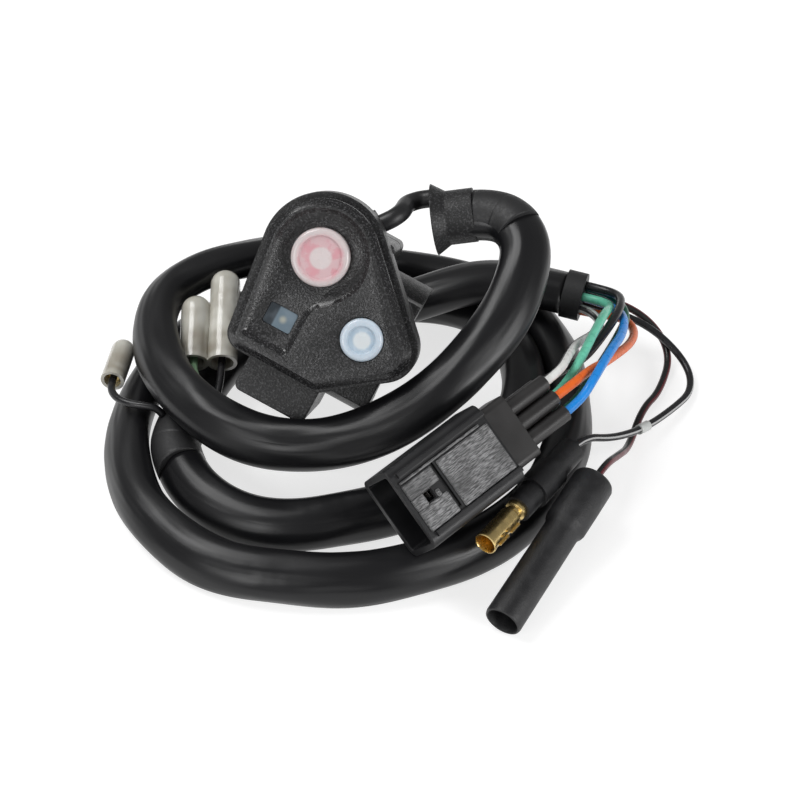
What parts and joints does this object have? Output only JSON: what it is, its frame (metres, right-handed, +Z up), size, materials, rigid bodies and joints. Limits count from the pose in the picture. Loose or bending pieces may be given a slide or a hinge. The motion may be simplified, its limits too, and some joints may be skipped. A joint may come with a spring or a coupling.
{
  "type": "engine kill switch",
  "caption": "Handlebar engine stop switch pod with two push buttons and an indicator window, a bar clamp, and a coiled sleeved loom with a multi-way plug and bullet connectors.",
  "frame": {"origin": "on the axis of the handlebar bore, midway along the clamp cap", "axes": "+Z up with the loom lying on a level surface, -Y towards the button face's side that is seen, +X to the seen right; the handlebar bore and the buttons are tilted to these axes"},
  "size_m": [0.1349, 0.1196, 0.0634],
  "materials": {
    "cover_black": "fine grain with a glossier recess edge",
    "housing_black": "smooth satin",
    "lens_clear": "tinted translucent window",
    "led_white": "moulded",
    "seal_rubber": "smooth",
    "screw_steel": "zinc plated",
    "insert_brass": "turned",
    "board_green": "lacquered board",
    "stop_cap_clear": "translucent white over a pink ring",
    "stop_ring_red": "moulded",
    "mode_cap_clear": "translucent bluish white",
    "mode_ring_blue": "moulded",
    "stem_white": "moulded",
    "contact_rubber": "soft moulded",
    "grommet_rubber": "soft matte",
    "lead_black": "satin jacket",
    "boot_rubber": "grained matte",
    "tape_black": "matte wrapped tape",
    "sleeve_vinyl": "satin vinyl tube",
    "plug_black": "smooth moulded nylon",
    "core_black": "smooth moulded nylon",
    "pin_tin": "tinned",
    "socket_brass": "bright rolled brass",
    "boot_black": "satin moulded",
    "bullet_sleeve_black": "satin moulded",
    "clear_vinyl": "milky clear vinyl",
    "wire_green": "insulated wire",
    "wire_black": "insulated wire",
    "wire_white": "insulated wire with a thin dark stripe",
    "wire_orange": "insulated wire",
    "wire_blue": "insulated wire",
    "wire_dark_green": "insulated wire",
    "wire_black_striped": "insulated wire with a white stripe",
    "wire_dark_red": "insulated wire"
  },
  "bodies": {
    "pod_and_loom": {"front_cover": "cover_black", "indicator_lens": "lens_clear", "indicator_led": "led_white", "cover_seal": "seal_rubber", "rear_housing": "housing_black", "clamp_cap": "housing_black", "clamp_screws": "screw_steel", "clamp_inserts": "insert_brass", "housing_screws": "screw_steel", "circuit_board": "board_green", "stop_contact": "contact_rubber", "mode_contact": "contact_rubber", "cable_grommet": "grommet_rubber", "switch_lead": "lead_black", "lead_boot": "boot_rubber", "fold_tape": "tape_black", "sleeve_loops": "sleeve_vinyl", "branch_tape": "tape_black", "tail_sleeve": "sleeve_vinyl", "end_tape": "tape_black", "plug_shell": "plug_black", "plug_core": "core_black", "plug_pins": "pin_tin", "bullet_socket": "socket_brass", "bullet_boot": "boot_black", "long_bullet_sleeve": "bullet_sleeve_black", "long_bullet_socket": "socket_brass", "clear_pair_sleeve": "clear_vinyl", "clear_pair_sockets": "socket_brass", "clear_single_sleeve": "clear_vinyl", "clear_single_socket": "socket_brass", "wire_green": "wire_green", "wire_black": "wire_black", "wire_white": "wire_white", "wire_orange": "wire_orange", "wire_blue": "wire_blue", "wire_dark_green": "wire_dark_green", "wire_to_short_bullet": "wire_black_striped", "wire_to_long_bullet": "wire_dark_red", "wire_to_clear_long": "wire_black", "wire_to_clear_short": "wire_green", "wire_to_clear_single": "wire_black_striped"},
    "stop_button": {"stop_cap": "stop_cap_clear", "stop_ring": "stop_ring_red", "stop_stem": "stem_white"},
    "mode_button": {"mode_cap": "mode_cap_clear", "mode_ring": "mode_ring_blue", "mode_stem": "stem_white"}
  },
  "joints": [
    {"name": "stop_press", "type": "slide", "parent": "pod_and_loom", "child": "stop_button", "axis": [0.0726, 0.8095, -0.5826], "range_m": [0, 0.002], "stiffness_N_per_m": 900},
    {"name": "mode_press", "type": "slide", "parent": "pod_and_loom", "child": "mode_button", "axis": [0.0726, 0.8095, -0.5826], "range_m": [0, 0.0015], "stiffness_N_per_m": 800}
  ]
}
